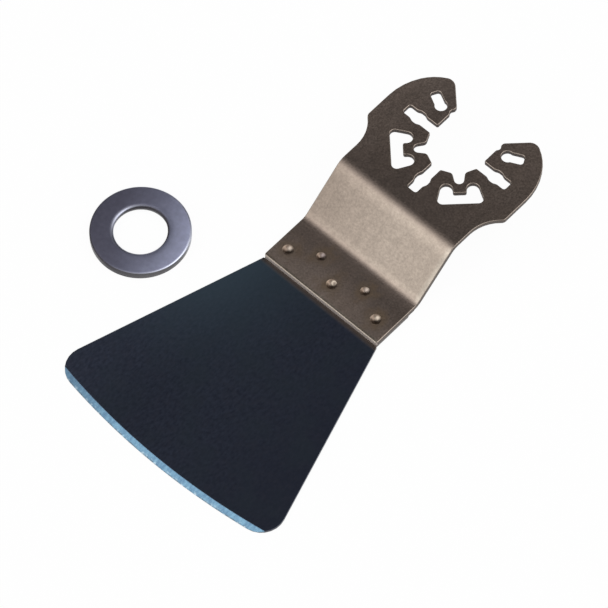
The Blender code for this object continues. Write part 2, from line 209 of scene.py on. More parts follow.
table_mesh = bpy.data.meshes.new("table")
corners = [(-1, -1), (1, -1), (1, 1), (-1, 1)]
table_mesh.from_pydata([(TABLE_REACH * x, TABLE_REACH * y, 0.0) for x, y in corners], [], [(0, 1, 2, 3)])
table = bpy.data.objects.new("table", table_mesh)
table.location.z = -TABLE_DROP
scene.collection.objects.link(table)
paper = bpy.data.materials.new("white_sheet")
paper.use_nodes = True
sheet = paper.node_tree
sheet.nodes.remove(sheet.nodes["Principled BSDF"])
matt = sheet.nodes.new("ShaderNodeBsdfDiffuse")
matt.inputs["Color"].default_value = PAPER
glow = sheet.nodes.new("ShaderNodeEmission")
ray = sheet.nodes.new("ShaderNodeLightPath").outputs
seen = math_node(sheet, "MAXIMUM", ray["Is Camera Ray"], ray["Is Glossy Ray"])
seen = math_node(sheet, "MAXIMUM", seen, ray["Is Transmission Ray"])
blend = sheet.nodes.new("ShaderNodeMixShader")
sheet.links.new(math_node(sheet, "MULTIPLY", seen, GLOW_SHARE), blend.inputs["Fac"])
sheet.links.new(matt.outputs[0], blend.inputs[1])
sheet.links.new(glow.outputs[0], blend.inputs[2])
sheet.links.new(blend.outputs[0], sheet.nodes["Material Output"].inputs["Surface"])
table_mesh.materials.append(paper)
print("table of", round(table.dimensions.x), "m")

# %% [markdown]
# ## Helpers for steel
#
# A finish could be painted on, but a painting needs a flat layout and gets coarse up close. Here each finish
# is made by nodes instead. They start from a place on the piece, read from its Object coordinates, from
# noise at several sizes, and from shares that are written on the faces. Below, a noise is given by its bumps
# a metre and its detail, and a range by the two values that it reads and the two that it gives.

# %% Where a finish starts


def steel(name):
    """A new metal material, with its tree and shader."""
    material = bpy.data.materials.new(name)
    material.use_nodes = True
    shader = material.node_tree.nodes["Principled BSDF"]
    shader.inputs["Metallic"].default_value = 1.0
    return material, material.node_tree, shader


def place(tree, stretch=(1.0, 1.0, 1.0)):
    """Object coordinates, stretched by a Mapping node."""
    mapping = tree.nodes.new("ShaderNodeMapping")
    mapping.inputs["Scale"].default_value = stretch
    tree.links.new(tree.nodes.new("ShaderNodeTexCoord").outputs["Object"], mapping.inputs["Vector"])
    return mapping.outputs["Vector"]


def noise(tree, vector, scale, detail):
    """A noise value from 0 to 1 at so many bumps a metre."""
    texture = tree.nodes.new("ShaderNodeTexNoise")
    texture.inputs["Scale"].default_value = scale
    texture.inputs["Detail"].default_value = detail
    tree.links.new(vector, texture.inputs["Vector"])
    return texture.outputs["Fac"]


def distance_to_nearest(tree, vector, places):
    """The distance to the nearest of some places."""
    distances = [vector_node(tree, "DISTANCE", vector, spot) for spot in places]
    nearest = distances[0]
    for distance in distances[1:]:
        nearest = math_node(tree, "MINIMUM", nearest, distance)
    return nearest


def face_share(tree, name):
    """A share that was written on the faces of the mesh."""
    made = tree.nodes.new("ShaderNodeAttribute")
    made.attribute_name = name
    return made.outputs["Fac"]


def grain(tree, shader, height, depth):
    """Fine relief: a height from 0 to 1 as a bump of so many metres."""
    bump = tree.nodes.new("ShaderNodeBump")
    bump.inputs["Distance"].default_value = depth
    tree.links.new(height, bump.inputs["Height"])
    tree.links.new(bump.outputs["Normal"], shader.inputs["Normal"])


# %% [markdown]
# ### Tones
#
# From there a finish is built up in layers, as scale, heat and wear came over each other on the real steel,
# and some layers are painted light and shade.
# A layer mixes in a colour, or makes what is there lighter or darker. Noise alone can't put a tone in its
# place, so a tone ramp holds stops in metres, and a lighter or darker zone sits where it was measured.

# %% Tones
# A Mix node has sockets of the same names for numbers, vectors and colours. These are the ones for colours.
MIX_FIRST, MIX_SECOND, MIX_RESULT = 6, 7, 2
TONE_SPAN = 2.0


def mixed(tree, factor, first, second):
    """A mix by a value. Each side is a colour, a number or another node's output."""
    made = tree.nodes.new("ShaderNodeMix")
    made.data_type = "RGBA"
    tree.links.new(factor, made.inputs["Factor"])
    for socket, side in ((made.inputs[MIX_FIRST], first), (made.inputs[MIX_SECOND], second)):
        if isinstance(side, float):
            side = (side, side, side)
        if isinstance(side, tuple):
            socket.default_value = (*side, 1.0)
        else:
            tree.links.new(side, socket)
    return made.outputs[MIX_RESULT]


def scaled(tree, colour, amount):
    """A colour made lighter or darker by a value."""
    made = tree.nodes.new("ShaderNodeVectorMath")
    made.operation = "SCALE"
    tree.links.new(colour, made.inputs[0])
    tree.links.new(amount, made.inputs["Scale"])
    return made.outputs["Vector"]


def toned(tree, colour, share, tone):
    """A colour made lighter or darker by a tone, as far as a share says."""
    return scaled(tree, colour, mixed(tree, share, 1.0, tone))


def tone_ramp(tree, metres, tones):
    """A tone read from stops of (metres, tone). A ramp holds 0 to 1, so the tones are kept as shares."""
    reach = tones[-1][0]
    ramp = tree.nodes.new("ShaderNodeValToRGB")
    stops = ramp.color_ramp.elements
    while len(stops) < len(tones):
        stops.new(0.5)
    for stop, (position, tone) in zip(stops, tones):
        share = tone / TONE_SPAN
        stop.position = position / reach
        stop.color = (share, share, share, 1.0)
    tree.links.new(remap(tree, metres, 0.0, reach), ramp.inputs["Fac"])
    return math_node(tree, "MULTIPLY", ramp.outputs["Color"], TONE_SPAN)


# %% [markdown]
# ## Helpers for stamped sheet
#
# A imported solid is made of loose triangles. Its copy is merged, and the triangles that share a plane become
# whole faces. Then the edges that are left at a clear angle are those of the real sheet. They could be
# picked by hand, but a change of size would undo the picking.

# %% Whole faces
MERGE_DISTANCE = 1e-6
PLANE_ANGLE = math.radians(0.05)
SHARP_ANGLE = math.radians(40.0)


def whole_faces(node):
    """A bmesh of a solid's faces, merged where they share a plane."""
    source = frame["nodes"][node].data
    plain = bpy.data.meshes.new(node + "_plain")
    plain.from_pydata([vertex.co for vertex in source.vertices], [],
                      [tuple(face.vertices) for face in source.polygons])
    build = bmesh.new()
    build.from_mesh(plain)
    build.edges.layers.float.new("bevel_weight_edge")
    bpy.data.meshes.remove(plain)
    bmesh.ops.remove_doubles(build, verts=build.verts, dist=MERGE_DISTANCE)
    bmesh.ops.dissolve_limit(build, angle_limit=PLANE_ANGLE, verts=build.verts, edges=build.edges)
    return build


def sharp_edges(build):
    """Edges where two faces meet at a clear angle."""
    return [edge for edge in build.edges if edge.is_manifold and edge.calc_face_angle() > SHARP_ANGLE]


# %% [markdown]
# ### Rounded edges
#
# A press rounds the edges of a sheet by a tenth or two of a millimetre. The Bevel modifier does it, because
# it takes a weight for each edge, and because it puts its own faces in a material slot, which tells the
# rounds from the rest later.

# %% Rounded edges
ROUND_SLOT = 1


def settle(piece):
    """Turn a piece's modifiers into a plain mesh."""
    evaluated = piece.evaluated_get(bpy.context.evaluated_depsgraph_get())
    mesh = bpy.data.meshes.new_from_object(evaluated)
    piece.modifiers.clear()
    piece.data = mesh


def rounded_off(build, widths, segments):
    """A bmesh with some edges rounded, each by a width of its own."""
    widest = max(widths.values())
    weights = build.edges.layers.float["bevel_weight_edge"]
    for edge, width in widths.items():
        edge[weights] = width / widest
    mesh = bpy.data.meshes.new("rounding")
    build.to_mesh(mesh)
    build.free()
    for _ in range(ROUND_SLOT + 1):
        mesh.materials.append(None)
    piece = bpy.data.objects.new("rounding", mesh)
    scene.collection.objects.link(piece)
    bevel = piece.modifiers.new("bevel", "BEVEL")
    bevel.limit_method = "WEIGHT"
    bevel.material = ROUND_SLOT
    bevel.width = widest
    bevel.segments = segments
    bevel.use_clamp_overlap = False
    bevel.loop_slide = False
    settle(piece)
    made = bmesh.new()
    made.from_mesh(piece.data)
    bpy.data.objects.remove(piece)
    return made


# %% [markdown]
# ### Level faces
#
# A bevel can fold a large face that has holes, so the level faces are filled anew between their outlines.
# Smooth shading alone would make such a face look puffed up, so the normals are set one by one: a corner of
# a level face points straight up or down, and only the narrow round turns the light.

# %% Level faces
LEVEL = 0.99999
LEVEL_STEP = 0.0001


def is_level(face):
    """Whether a face lies level."""
    return abs(face.normal.z) > LEVEL


def refill_level_faces(build):
    """Fill the level faces anew, height by height, between their outlines."""
    heights = {}
    for face in filter(is_level, build.faces):
        key = (face.normal.z > 0.0, round(face.calc_center_median().z / LEVEL_STEP))
        heights.setdefault(key, set()).add(face)
    for (upward, _), faces in heights.items():
        edges = {edge for face in faces for edge in face.edges}
        rims = [edge for edge in edges if len(faces.intersection(edge.link_faces)) == 1]
        bmesh.ops.delete(build, geom=list(faces), context="FACES")
        bmesh.ops.triangle_fill(build, use_beauty=True, edges=rims, normal=(0, 0, 1 if upward else -1))


def press_normal(vertex):
    """The normal of a corner: that of its level face, or else the mean of its faces by their area."""
    for face in vertex.link_faces:
        if is_level(face):
            return face.normal.copy()
    total = Vector()
    for face in vertex.link_faces:
        total += face.normal * face.calc_area()
    return total.normalized()


# %% [markdown]
# ### Marks for the materials
#
# Rounded edges are rubbed bright and get a painted highlight, and where the press has cut through the sheet
# the wall is torn, and on the shank it gets painted shade.
# Each could get a material of its own, but then the change would be hard. Two attributes on the faces mark
# both as shares instead: the bevel's slot tells the rounds, and a wall is known by its lean.

# %% Marked pieces
UNDERSIDE = -0.6
SHEET_UPRIGHT = Vector((0.0, 0.0, 1.0))
SHEET_WALL = (0.60, 0.25)


def mark_lean(mesh, name, upright, start, full):
    """Write a share on each face: none down to a first lean, all of it from a second one on."""
    shares = mesh.attributes.new(name, "FLOAT", "FACE")
    for face, share in zip(mesh.polygons, shares.data):
        steepness = (start - face.normal.dot(upright)) / (start - full)
        share.value = 0.0 if face.normal.z < UNDERSIDE else min(1.0, max(0.0, steepness))


def sheet_piece(name, build, material, ground=(0.0, 0.0)):
    """A smooth-shaded piece from a bmesh, with its normals set one by one.

    Faces whose lean lies between two limits are ground flat, so they keep their own normal.
    """
    refill_level_faces(build)
    for face in build.faces:
        face.smooth = True
    normals = [press_normal(vertex) for vertex in build.verts]
    mesh = bpy.data.meshes.new(name)
    build.to_mesh(mesh)
    build.free()
    corners = []
    for face in mesh.polygons:
        is_ground = ground[0] < face.normal.z < ground[1]
        corners += [face.normal.copy() if is_ground else normals[index] for index in face.vertices]
    mesh.normals_split_custom_set(corners)
    rounds = mesh.attributes.new("edge", "FLOAT", "FACE")
    for face, share in zip(mesh.polygons, rounds.data):
        share.value = 1.0 if face.material_index == ROUND_SLOT else 0.0
        face.material_index = 0
    mesh.materials.append(material)
    mark_lean(mesh, "wall", SHEET_UPRIGHT, *SHEET_WALL)
    piece = bpy.data.objects.new(name, mesh)
    scene.collection.objects.link(piece)
    print(name, len(mesh.polygons), "faces")
    return piece


# %% [markdown]
# ## Places on the solids
#
# The materials and pieces below need a few places: the middles of the weld spots, the lower end of the
# shank, the middle line of the blade and the middle of the washer. They could be typed in, but read from the
# solids they stay right when a size changes.

# %% Places
WELDS = ["weld_1", "weld_2", "weld_3", "weld_4", "weld_5"]

weld_boxes = [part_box(node) for node in WELDS]
weld_middles = [(low + high) / 2 for low, high in weld_boxes]
blade_low, blade_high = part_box("scraper_blade")
shank_low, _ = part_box("shank_plate")
washer_low, washer_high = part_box("spacer_washer")
axis_x = (blade_low.x + blade_high.x) / 2
blade_half = (blade_high.x - blade_low.x) / 2
blade_top = blade_high.z
flat_top = weld_boxes[0][1].z
shank_end = shank_low.y
washer_middle = (washer_low + washer_high) / 2
washer_radius = (washer_high.x - washer_low.x) / 2
print("middle line at x", round(1000 * axis_x, 2), "mm, shank from y", round(1000 * shank_end, 2))

# %% [markdown]
# ## The steel of the shank
#
# The shank is hardened sheet with a brown-grey scale on it, finely mottled. It isn't even along its length:
# the horns and the lower flat are paler, and over the sloped panel and its two bends the press has rubbed
# the scale thin, so that sparkling steel shows. Two tone ramps, read in metres from the lower end, hold what
# happens along the shank, and noise breaks them up. The bright bands at the two bends are painted
# highlights, and the bare steel at the edge of the lower end is rubbed and partly a painted highlight. Across
# the shank, painted light makes the bare steel lighter towards the right, with a painted highlight along the
# panel's right edge, and makes the left arm of the arbor lighter; painted shade makes the right half of the
# lower flat a little darker.

# %% Shank steel: scale
MOTTLE = (2600.0, 4.0)
CLOUD = (120.0, 3.0)
STREAK = (700.0, 3.0)
STREAK_STRETCH = (1.0, 0.25, 1.0)
SPARKLE = (1900.0, 2.0)
SCALE_COLOURS = ((0.202, 0.161, 0.139), (0.222, 0.171, 0.142))
CLOUD_SHARE = (0.35, 0.7, 0.0, 0.5)
BARE_SHADE_TO_LIGHT = ((0.225, 0.185, 0.152), (0.298, 0.252, 0.209))
BARE_LIGHT_ACROSS = (-0.0146, 0.0030)
BARE_RIM_HIGHLIGHT = (0.390, 0.345, 0.290)
RIM_HIGHLIGHT_ACROSS = (0.0134, 0.0141)
RUBBED_AND_END_HIGHLIGHT = [(0.0, 0.9), (0.0005, 0.9), (0.0007, 0.0), (0.0110, 0.0), (0.0124, 0.8), (0.0205, 0.8),
          (0.0222, 0.0), (0.0497, 0.0)]
SHANK_TONES_AND_BEND_HIGHLIGHTS = [(0.0, 1.05), (0.0004, 1.05), (0.0007, 1.85), (0.0030, 1.75), (0.0080, 1.20), (0.0098, 1.23),
               (0.0109, 1.47), (0.0114, 1.23), (0.0124, 1.18), (0.0130, 0.97), (0.0190, 0.98),
               (0.0205, 1.22), (0.0215, 1.05), (0.0230, 0.97), (0.0310, 1.03), (0.0497, 1.28)]
MOTTLE_TONES = (0.25, 0.75, 0.86, 1.14)
STREAK_TONES = (0.30, 0.70, 0.93, 1.07)
SPARKLE_TONES = (0.30, 0.70, 0.86, 1.14)
ARBOR_START = (0.0219, 0.0249)
LEFT_ARM_LIGHT = (-0.0160, -0.0080, 1.33, 1.0)
FLAT_END = (0.0085, 0.0104, 1.0, 0.0)
RIGHT_HALF_SHADE = (-0.0010, 0.0120, 1.0, 0.84)

shank_steel, tree, shader = steel("shank_steel")
spot = place(tree)
here = parts_of(tree, vector_node(tree, "SUBTRACT", spot, (axis_x, shank_end, flat_top)))
mottle = noise(tree, spot, *MOTTLE)
streak = noise(tree, place(tree, STREAK_STRETCH), *STREAK)
sparkle = noise(tree, spot, *SPARKLE)
brown = mixed(tree, remap(tree, noise(tree, spot, *CLOUD), *CLOUD_SHARE), *SCALE_COLOURS)
# Painted light: bare steel lighter to the right, and a painted highlight along the right edge.
bare_shaded_and_lit = mixed(tree, remap(tree, here["X"], *BARE_LIGHT_ACROSS), *BARE_SHADE_TO_LIGHT)
bare_shaded_and_lit = mixed(tree, remap(tree, here["X"], *RIM_HIGHLIGHT_ACROSS), bare_shaded_and_lit, BARE_RIM_HIGHLIGHT)
# The bare stop at the lower end is partly rubbing, partly a painted highlight on the end's round.
rubbed_and_lit = tone_ramp(tree, here["Y"], RUBBED_AND_END_HIGHLIGHT)
brown = mixed(tree, rubbed_and_lit, brown, bare_shaded_and_lit)
# The bright stops at the two bends are painted highlights.
brown = scaled(tree, brown, tone_ramp(tree, here["Y"], SHANK_TONES_AND_BEND_HIGHLIGHTS))
brown = scaled(tree, brown, remap(tree, mottle, *MOTTLE_TONES))
brown = scaled(tree, brown, remap(tree, streak, *STREAK_TONES))
brown = toned(tree, brown, rubbed_and_lit, remap(tree, sparkle, *SPARKLE_TONES))
# Painted light and shade: the left arm of the arbor lighter, the right half of the lower flat darker.
on_arbor = remap(tree, here["Y"], *ARBOR_START)
brown = toned(tree, brown, on_arbor, remap(tree, here["X"], *LEFT_ARM_LIGHT))
on_flat = remap(tree, here["Y"], *FLAT_END)
brown = toned(tree, brown, on_flat, remap(tree, here["X"], *RIGHT_HALF_SHADE))
print("scale has", len(tree.nodes), "nodes")

# %% [markdown]
# ### The welding heat, and painted highlights
#
# Around each weld spot the heat has left a brown halo with uneven stains and a scorched ring. The pale
# middle, which lies a little off centre towards the light, is a painted highlight in the dimple. All of it
# follows the distance to the nearest spot, which costs one node a spot and needs no drawing. The middle
# electrode was worn and has left a small ring of its own, shown by a painted highlight round a core of
# painted shade. How dull each painted highlight is comes with each dimple, as a share on its faces.

# %% Shank steel: welding heat and painted highlights
HALO = (0.0013, 0.0028, 0.45, 0.0)
HALO_NOISE = (900.0, 2.0)
HALO_SHIFT = (0.3, 0.7, -0.0003, 0.0003)
HALO_COLOUR = (0.300, 0.220, 0.150)
STAIN = (0.0012, 0.0050, 0.6, 0.0)
STAIN_NOISE = (420.0, 4.0)
STAIN_PATCHES = (0.48, 0.66)
STAIN_COLOUR = (0.300, 0.215, 0.145)
SCORCH = (0.0008, 0.0013, 0.8, 0.0)
SCORCH_COLOUR = (0.150, 0.112, 0.088)
DIMPLE_HIGHLIGHT = (0.0001, 0.0008, 1.0, 0.0)
DIMPLE_HIGHLIGHT_SHIFT = Vector((0.00005, 0.00035, 0.0))
DIMPLE_HIGHLIGHT_COLOURS = ((0.740, 0.640, 0.530), (0.300, 0.250, 0.245))
WORN_WELD = 2
RING_SHIFT = Vector((0.00012, 0.00052, -0.00020))
WELD_RING_HIGHLIGHT_TONES = [(0.0, 0.0), (0.00028, 0.0), (0.00042, 0.8), (0.00058, 0.0), (0.0007, 0.0)]
WELD_RING_HIGHLIGHT_COLOUR = (0.700, 0.600, 0.480)
WELD_RING_SHADED_CORE = (0.0001, 0.00035, 0.7, 0.0)

weld_tops = [Vector((middle.x, middle.y, flat_top)) for middle in weld_middles]
nearest = distance_to_nearest(tree, spot, weld_tops)
uneven = math_node(tree, "ADD", nearest, remap(tree, noise(tree, spot, *HALO_NOISE), *HALO_SHIFT))
brown = mixed(tree, remap(tree, uneven, *HALO, smooth=True), brown, HALO_COLOUR)
patches = remap(tree, noise(tree, spot, *STAIN_NOISE), *STAIN_PATCHES)
stain = math_node(tree, "MULTIPLY", remap(tree, nearest, *STAIN, smooth=True), patches)
brown = mixed(tree, stain, brown, STAIN_COLOUR)
brown = mixed(tree, remap(tree, nearest, *SCORCH, smooth=True), brown, SCORCH_COLOUR)
# A painted highlight in each dimple, a little off centre towards the light.
lit_side = distance_to_nearest(tree, spot, [top + DIMPLE_HIGHLIGHT_SHIFT for top in weld_tops])
highlight_share = remap(tree, lit_side, *DIMPLE_HIGHLIGHT, smooth=True)
brown = mixed(tree, highlight_share, brown, mixed(tree, face_share(tree, "dull"), *DIMPLE_HIGHLIGHT_COLOURS))
# The worn electrode's ring: a painted highlight round a core of painted shade.
from_ring = distance_to_nearest(tree, spot, [weld_tops[WORN_WELD] + RING_SHIFT])
brown = mixed(tree, tone_ramp(tree, from_ring, WELD_RING_HIGHLIGHT_TONES), brown, WELD_RING_HIGHLIGHT_COLOUR)
brown = mixed(tree, remap(tree, from_ring, *WELD_RING_SHADED_CORE), brown, SCORCH_COLOUR)
print("scale and heat have", len(tree.nodes), "nodes")

# %% [markdown]
# ### Edges and cut walls
#
# The rounded edges are rubbed a little brighter, and their lighter colour is partly a painted highlight. The
# walls that the press has cut are dull, and their dark colour is partly torn steel and partly painted shade;
# painted light makes them a little paler on the right flank. The wall of the lower end is sheared clean and
# faces the light, so it is painted the palest, with painted shade towards its foot. A pattern in space could
# only guess where these lie, so the shares on the faces say it.

# %% Shank steel: edges and cut walls
EDGE_SHARE = (0.0, 1.0, 0.0, 0.35)
RUBBED_EDGE_HIGHLIGHT_COLOUR = (0.450, 0.395, 0.335)
CUT_WALL_SHADE_COLOURS = ((0.070, 0.053, 0.046), (0.120, 0.098, 0.086))
CUT_WALL_LIGHT_ACROSS = (0.0125, 0.0145)
SHEARED_LIT_COLOURS = ((0.360, 0.310, 0.280), (0.460, 0.395, 0.355))
SHEARED_FOOT_SHADE = (-0.0011, -0.0003)
SHEARED_REACH = (0.0002, 0.0005, 1.0, 0.0)
CUT_METAL = (0.0, 1.0, 1.0, 0.3)
SCALE_ROUGH = (0.2, 0.8, 0.30, 0.42)
DIMPLE_HIGHLIGHT_ROUGH = 0.48
CUT_ROUGH = 0.6
SCALE_RELIEF = 0.00002

# Rubbed rounds, with their lighter colour partly a painted highlight.
brown = mixed(tree, remap(tree, face_share(tree, "edge"), *EDGE_SHARE), brown, RUBBED_EDGE_HIGHLIGHT_COLOUR)
# Cut walls: dark partly as painted shade, paler to the right as painted light.
cut_wall_shade = mixed(tree, remap(tree, here["X"], *CUT_WALL_LIGHT_ACROSS), *CUT_WALL_SHADE_COLOURS)
# The end wall: painted pale where it faces the light, with painted shade at its foot.
sheared_lit = mixed(tree, remap(tree, here["Z"], *SHEARED_FOOT_SHADE), *SHEARED_LIT_COLOURS)
cut_wall_shade = mixed(tree, remap(tree, here["Y"], *SHEARED_REACH), cut_wall_shade, sheared_lit)
wall = face_share(tree, "wall")
tree.links.new(mixed(tree, wall, brown, cut_wall_shade), shader.inputs["Base Color"])
tree.links.new(remap(tree, wall, *CUT_METAL), shader.inputs["Metallic"])
rough = mixed(tree, highlight_share, remap(tree, mottle, *SCALE_ROUGH), DIMPLE_HIGHLIGHT_ROUGH)
tree.links.new(mixed(tree, wall, rough, CUT_ROUGH), shader.inputs["Roughness"])
grain(tree, shader, mottle, SCALE_RELIEF)
print("shank steel has", len(tree.nodes), "nodes")

# %% [markdown]
# ## The shank
#
# The shank lies right on the blade, so its underside comes down to it. All edges get the small round of the
# press. The upper edge of the lower end has a wider one, which shows as a bright line in front. One bevel
# with a weight for each edge does both. The weld bores stay sharp, because the dimples fill them without a
# seam.

# %% Shank
EDGE_ROUND = 0.00018
END_ROUND = 0.00025
EDGE_STEPS = 3
CORNER_REACH = 0.0005
SEAT = 0.00001
BORE_REACH = 0.0016

build = whole_faces("shank_plate")
for vertex in build.verts:
    if vertex.co.z < shank_low.z + MERGE_DISTANCE:
        vertex.co.z = blade_top + SEAT


def in_bore(vertex):
    """Whether a corner lies on the wall of a weld bore."""
    return any((vertex.co.xy - middle.xy).length < BORE_REACH for middle in weld_middles)


def press_round(edge):
    """Width of the round of an edge: wide at the upper edge of the lower end, less round its corners."""
    middle = (edge.verts[0].co + edge.verts[1].co) / 2
    if middle.z < flat_top - SEAT or middle.z > flat_top + SEAT:
        return EDGE_ROUND
    share = min(1.0, (middle.y - shank_end) / CORNER_REACH)
    return END_ROUND + (EDGE_ROUND - END_ROUND) * share


edges = [edge for edge in sharp_edges(build) if not any(in_bore(vertex) for vertex in edge.verts)]
build = rounded_off(build, {edge: press_round(edge) for edge in edges}, EDGE_STEPS)
shank = sheet_piece("shank", build, shank_steel)
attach(shank, "scraper")
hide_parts("shank_plate")

# %% [markdown]
# ## Helpers for Geometry Nodes
#
# What repeats or follows a path is made by a node group, so that one rule makes every copy. A group has a
# few named inputs, and its modifier fills them in. Each input has an identifier of its own, which a helper
# looks up by name. The other helpers measure points, move them, and hand the result out as a plain mesh.

# %% Geometry Nodes helpers


def new_group(name, inputs, output):
    """A node group with named inputs, its given values and its one result."""
    group = bpy.data.node_groups.new(name, "GeometryNodeTree")
    for label, kind, value in inputs:
        socket = group.interface.new_socket(name=label, in_out="INPUT", socket_type="NodeSocket" + kind)
        if value is not None:
            socket.default_value = value
    group.interface.new_socket(name=output, in_out="OUTPUT", socket_type="NodeSocketGeometry")
    given = group.nodes.new("NodeGroupInput").outputs
    return group, given, group.nodes.new("NodeGroupOutput").inputs[output]


def position_parts(group):
    """The X, Y and Z of each point."""
    return parts_of(group, group.nodes.new("GeometryNodeInputPosition").outputs[0])


def radius_node(group, parts):
    """The distance of each point from the Z axis."""
    squares = [math_node(group, "MULTIPLY", parts[axis], parts[axis]) for axis in ("X", "Y")]
    return math_node(group, "SQRT", math_node(group, "ADD", *squares))


def combined(group, **axes):
    """A vector from sockets or numbers for its X, Y or Z."""
    made = group.nodes.new("ShaderNodeCombineXYZ")
    for axis, value in axes.items():
        if isinstance(value, float):
            made.inputs[axis].default_value = value
        else:
            group.links.new(value, made.inputs[axis])
    return made.outputs[0]


def moved(group, geometry, selection, offset):
    """The geometry with some points moved."""
    made = group.nodes.new("GeometryNodeSetPosition")
    for name, socket in (("Geometry", geometry), ("Selection", selection), ("Offset", offset)):
        group.links.new(socket, made.inputs[name])
    return made.outputs["Geometry"]


def pressed_down(group, geometry, parts, depth):
    """The geometry with its upper points moved down."""
    upper = math_node(group, "GREATER_THAN", parts["Z"], 0.0)
    return moved(group, geometry, upper, combined(group, Z=math_node(group, "MULTIPLY", depth, -1.0)))


def hand_out(group, geometry, material, result):
    """Make copies real, give them their material and hand them out."""
    real = group.nodes.new("GeometryNodeRealizeInstances")
    dress = group.nodes.new("GeometryNodeSetMaterial")
    group.links.new(geometry, real.inputs["Geometry"])
    group.links.new(real.outputs["Geometry"], dress.inputs["Geometry"])
    group.links.new(material, dress.inputs["Material"])
    group.links.new(dress.outputs["Geometry"], result)
    print(group.name, "has", len(group.nodes), "nodes")


def set_inputs(modifier, values):
    """Set a modifier's inputs, each by the identifier of its socket."""
    for item in modifier.node_group.interface.items_tree:
        if item.item_type == "SOCKET" and item.in_out == "INPUT" and item.name in values:
            modifier[item.identifier] = values[item.name]


# %% [markdown]
# ## The weld dimples
#
# Five electrodes have pressed five round dimples. They are one shape that repeats, so Geometry Nodes make it
# once, from a cylinder whose upper cap has rings, and put it on five points. The cap sinks in as a soft
# bowl: the depth follows a power of what the radius leaves over, which ends level at the rim. The electrodes
# stood a little askew, so each bowl is deeper towards the blade.

# %% Weld dimple nodes
DIMPLE_SIDES = 48
BOWL_SHARE = 0.88
BOWL_POWER = 1.5

group, given, result = new_group("weld_dimples", [
    ("Points", "Geometry", None), ("Depth", "Float", 0.0005), ("Skew", "Float", 0.0),
    ("Height", "Float", 0.0012), ("Rings", "Int", 12), ("Steel", "Material", None)], "Dimples")
# The slug has a radius of 1, and each point scales it to its bore.
slug = group.nodes.new("GeometryNodeMeshCylinder")
slug.fill_type = "TRIANGLE_FAN"
slug.inputs["Vertices"].default_value = DIMPLE_SIDES
slug.inputs["Radius"].default_value = 1.0
group.links.new(given["Rings"], slug.inputs["Fill Segments"])
group.links.new(given["Height"], slug.inputs["Depth"])
point = position_parts(group)
inside = math_node(group, "DIVIDE", radius_node(group, point), BOWL_SHARE)
inside = math_node(group, "MINIMUM", inside, 1.0)
left_over = math_node(group, "SUBTRACT", 1.0, math_node(group, "MULTIPLY", inside, inside))
bowl = math_node(group, "MULTIPLY", math_node(group, "POWER", left_over, BOWL_POWER), given["Depth"])
skew = math_node(group, "SUBTRACT", 1.0, math_node(group, "MULTIPLY", point["Y"], given["Skew"]))
dished = pressed_down(group, slug.outputs["Mesh"], point, math_node(group, "MULTIPLY", bowl, skew))
width = group.nodes.new("GeometryNodeInputNamedAttribute")
width.data_type = "FLOAT"
width.inputs["Name"].default_value = "bore"
bore = width.outputs["Attribute"]
copies = group.nodes.new("GeometryNodeInstanceOnPoints")
group.links.new(given["Points"], copies.inputs["Points"])
group.links.new(dished, copies.inputs["Instance"])
group.links.new(combined(group, X=bore, Y=bore, Z=1.0), copies.inputs["Scale"])
hand_out(group, copies.outputs["Instances"], given["Steel"], result)

# %% [markdown]
# ### The dimples in place
#
# The spots lie in a W of three large ones and two small ones. Five copies could be set out by hand, but here
# a mesh of five points carries them. Places and widths are read from the solids, and each point also says
# how dull its painted highlight is. A slug reaches from the blade to the upper side of the flat, so it fills
# its bore.

# %% Weld dimples
BORE_GAP = 0.0002
DIMPLE_RINGS = 20
DIMPLE_DEPTH = 0.00044
DIMPLE_SKEW = 0.4
DIMPLE_EDGE = math.radians(75.0)
DULL = (0.3, 1.0, 0.2, 0.5, 0.0)

slug_bottom = blade_top + SEAT
slug_height = flat_top - slug_bottom
slug_middle = slug_bottom + slug_height / 2
spots = bpy.data.meshes.new("weld_dimples")
spots.from_pydata([(middle.x, middle.y, slug_middle) for middle in weld_middles], [], [])
bores = [(high.x - low.x) / 2 + BORE_GAP for low, high in weld_boxes]
spots.attributes.new("bore", "FLOAT", "POINT").data.foreach_set("value", bores)
spots.attributes.new("dull", "FLOAT", "POINT").data.foreach_set("value", DULL)
dimples = bpy.data.objects.new("weld_dimples", spots)
scene.collection.objects.link(dimples)
pressing = dimples.modifiers.new("dimples", "NODES")
pressing.node_group = group
set_inputs(pressing, {"Depth": DIMPLE_DEPTH, "Skew": DIMPLE_SKEW, "Height": slug_height,
                      "Rings": DIMPLE_RINGS, "Steel": shank_steel})
settle(dimples)
dimples.data.shade_smooth()
dimples.data.set_sharp_from_angle(angle=DIMPLE_EDGE)
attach(dimples, "scraper")
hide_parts(*WELDS)
print("dimples have", len(dimples.data.polygons), "faces")

# %% [markdown]
# ## The steel of the blade
#
# The blade is thin spring steel with a blue-black oxide and fine grit all over, which the rolling drew out
# along it. It is lighter towards the left corner, greener towards the left of the neck and darker on the
# right. Close to the shank it turns brown, and painted shade darkens it along the shank's end, most in a
# dark line. Wide ramps across and along the blade hold these tones, and noise breaks them up.

